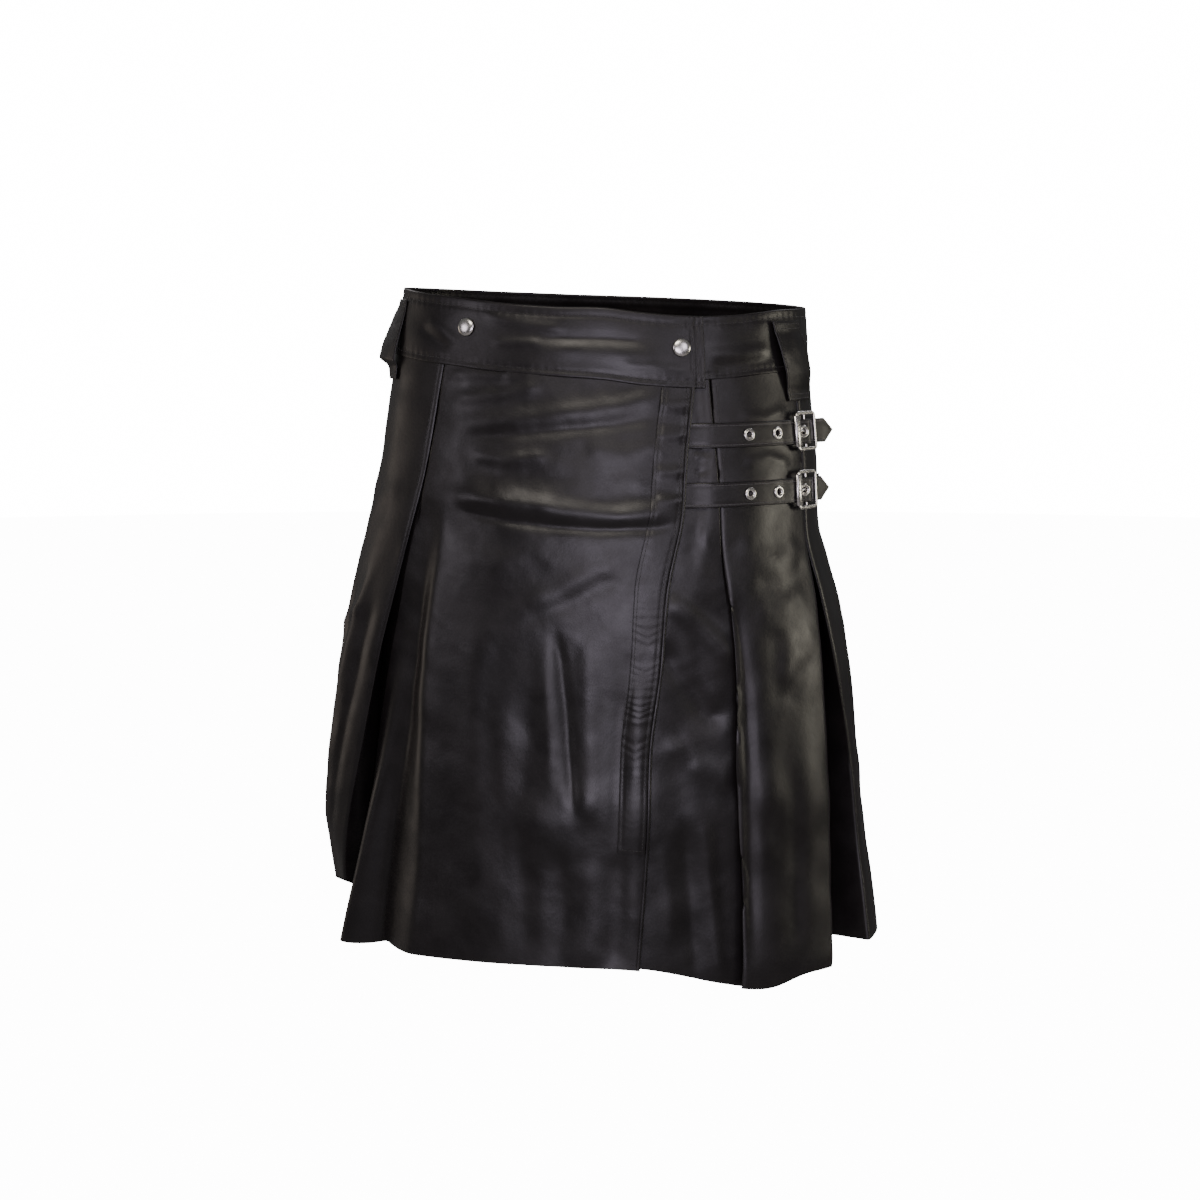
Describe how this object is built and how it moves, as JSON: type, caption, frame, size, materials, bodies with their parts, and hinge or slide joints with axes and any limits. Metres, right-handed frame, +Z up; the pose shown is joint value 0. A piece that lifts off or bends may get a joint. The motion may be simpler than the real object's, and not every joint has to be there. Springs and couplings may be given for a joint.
{
  "type": "leather kilt",
  "caption": "Wrap-around leather kilt, worn shape and hollow, with a lapped waistband, box pleats, buckled straps and belt loops.",
  "frame": {"origin": "middle of the waist, at the level of the waistband's top edge, where the wearer holds the kilt up", "axes": "+Z up, the front faces -Y, and the wearer's left is +X"},
  "size_m": [0.5162, 0.3897, 0.622],
  "materials": {
    "leather": "satin black nappa",
    "nickel": "polished nickel plate"
  },
  "bodies": {
    "root": {"waistband": "leather", "outer_apron": "leather", "under_apron": "leather", "placket_strip": "leather", "pleat_left_1": "leather", "pleat_left_2": "leather", "pleat_left_3": "leather", "pleat_back": "leather", "pleat_right_3": "leather", "pleat_right_2": "leather", "pleat_right_1": "leather", "strap_upper": "leather", "strap_lower": "leather", "chape_upper": "leather", "chape_lower": "leather", "belt_loop_front_left": "leather", "belt_loop_back_left": "leather", "belt_loop_back": "leather", "belt_loop_back_right": "leather", "belt_loop_front_right": "leather", "buckle_upper": "nickel", "buckle_lower": "nickel", "prong_upper": "nickel", "prong_lower": "nickel", "snap_left": "nickel", "snap_right": "nickel", "eyelet_upper_1": "nickel", "eyelet_upper_2": "nickel", "eyelet_upper_3": "nickel", "eyelet_lower_1": "nickel", "eyelet_lower_2": "nickel", "eyelet_lower_3": "nickel"}
  },
  "joints": []
}
